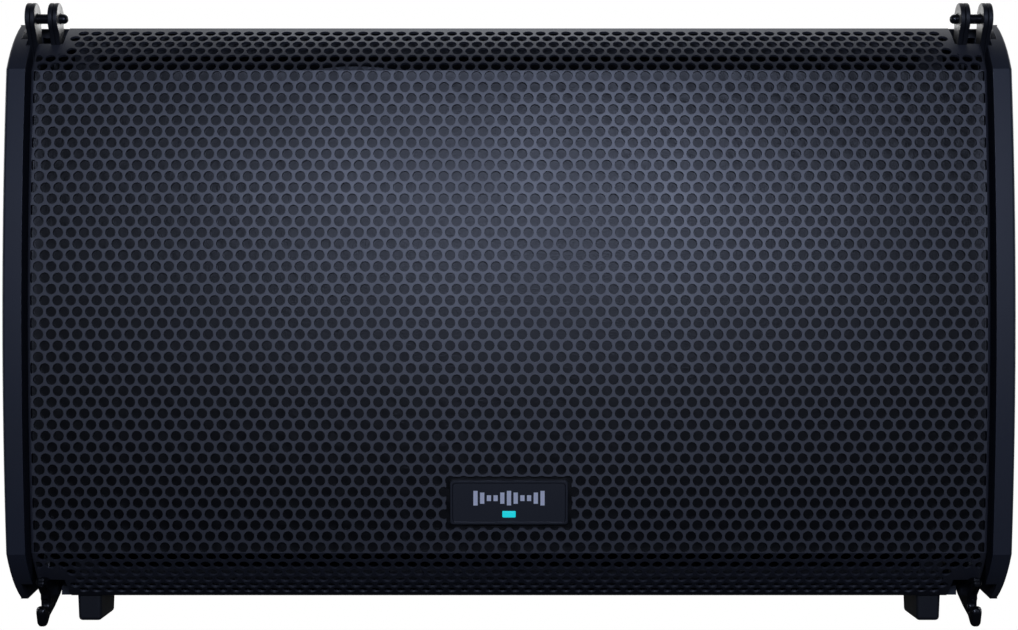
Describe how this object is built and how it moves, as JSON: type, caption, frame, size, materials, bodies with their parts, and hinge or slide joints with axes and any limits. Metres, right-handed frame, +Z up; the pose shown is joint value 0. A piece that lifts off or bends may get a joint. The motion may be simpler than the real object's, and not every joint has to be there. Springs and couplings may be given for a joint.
{
  "type": "line array speaker",
  "caption": "Powered line array loudspeaker with a perforated curved grille, side rigging forks and hooks, a rear splay link and amplifier panels",
  "frame": {"origin": "centre of the box's footprint, at floor level under the feet", "axes": "+X to the right seen from the front, +Y to the rear, +Z up; the grille faces -Y"},
  "size_m": [0.614, 0.4323, 0.3856],
  "materials": {
    "side_moulding": "satin",
    "grille_steel": "satin",
    "ply_paint": "matte",
    "rig_steel": "satin",
    "hook_steel": "satin",
    "zinc": "satin",
    "foot_rubber": "matte",
    "grille_foam": "matte",
    "badge_plastic": "satin",
    "light_lens": "gloss",
    "driver_metal": "satin",
    "magnet": "matte",
    "surround_rubber": "matte",
    "cone_paper": "matte",
    "spider_cloth": "matte",
    "coil_copper": "satin",
    "dark_plastic": "satin",
    "diaphragm": "satin",
    "button_red": "satin",
    "rear_panel": "satin",
    "can_steel": "satin",
    "board": "satin",
    "sink_black": "satin",
    "display": "gloss"
  },
  "bodies": {
    "cabinet": {"cabinet_top": "ply_paint", "cabinet_bottom": "ply_paint", "cabinet_side_left": "ply_paint", "cabinet_side_right": "ply_paint", "cabinet_back": "ply_paint", "baffle": "ply_paint", "side_panel_left": "side_moulding", "side_panel_right": "side_moulding", "handle_cups": "dark_plastic", "case_screws": "zinc", "front_feet": "foot_rubber", "rear_feet": "foot_rubber", "rig_outer_left": "rig_steel", "rig_outer_right": "rig_steel", "rig_inner_left": "rig_steel", "rig_inner_right": "rig_steel", "rig_doublers": "rig_steel", "hook_left": "hook_steel", "hook_right": "hook_steel", "rig_pins": "zinc", "rig_bolts": "zinc", "grille": "grille_steel", "grille_foam": "grille_foam", "grille_posts": "dark_plastic", "badge": "badge_plastic", "badge_light": "light_lens", "woofer_frame": "driver_metal", "woofer_surround": "surround_rubber", "woofer_spider": "spider_cloth", "woofer_top_plate": "zinc", "woofer_magnet": "magnet", "woofer_back_plate": "zinc", "driver_screws": "zinc", "waveguide": "dark_plastic", "hf_driver": "driver_metal", "port_tubes": "dark_plastic", "rear_spine": "rig_steel", "link_pivot_pin": "zinc", "control_panel": "rear_panel", "power_panel": "rear_panel", "amp_housings": "can_steel", "circuit_boards": "board", "heatsink": "sink_black", "display_window": "display", "line_in_socket": "dark_plastic", "line_out_socket": "dark_plastic", "mains_inlet": "dark_plastic", "rear_screws": "zinc"},
    "cone": {"woofer_cone": "cone_paper", "dust_cap": "cone_paper", "voice_coil": "coil_copper"},
    "dome": {"hf_diaphragm": "diaphragm"},
    "link": {"splay_link": "zinc"},
    "pull_pin": {"quick_pin": "zinc"},
    "pull_button": {"quick_pin_button": "button_red"},
    "plunger": {"encoder_plunger": "zinc"},
    "knob": {"encoder_knob": "dark_plastic"},
    "latch": {"socket_latch": "zinc"},
    "rocker": {"power_rocker": "dark_plastic"}
  },
  "joints": [
    {"name": "cone_travel", "type": "slide", "parent": "cabinet", "child": "cone", "axis": [0, -1, 0], "range_m": [-0.008, 0.008], "stiffness_N_per_m": 6000, "deforming": ["woofer_surround", "woofer_spider"]},
    {"name": "dome_travel", "type": "slide", "parent": "cabinet", "child": "dome", "axis": [0, -1, 0], "range_m": [-0.0004, 0.0004], "stiffness_N_per_m": 20000},
    {"name": "link_hinge", "type": "hinge", "parent": "cabinet", "child": "link", "pos_m": [0, 0.201, 0.3167], "axis": [1, 0, 0], "range_deg": [0, 184]},
    {"name": "pin_pull", "type": "slide", "parent": "cabinet", "child": "pull_pin", "axis": [1, 0, 0], "range_m": [0, 0.032]},
    {"name": "pin_button", "type": "slide", "parent": "pull_pin", "child": "pull_button", "axis": [-1, 0, 0], "range_m": [0, 0.0025], "stiffness_N_per_m": 800},
    {"name": "encoder_push", "type": "slide", "parent": "cabinet", "child": "plunger", "axis": [0, -1, 0], "range_m": [0, 0.0005], "stiffness_N_per_m": 3000},
    {"name": "encoder_turn", "type": "hinge", "parent": "plunger", "child": "knob", "pos_m": [-0.215, 0.186, 0.2807], "axis": [0, 1, 0], "continuous": true},
    {"name": "latch_press", "type": "slide", "parent": "cabinet", "child": "latch", "axis": [0, -1, 0], "range_m": [0, 0.002], "stiffness_N_per_m": 600},
    {"name": "rocker_tilt", "type": "hinge", "parent": "cabinet", "child": "rocker", "pos_m": [0.212, 0.186, 0.2487], "axis": [1, 0, 0], "range_deg": [0, 16]}
  ]
}
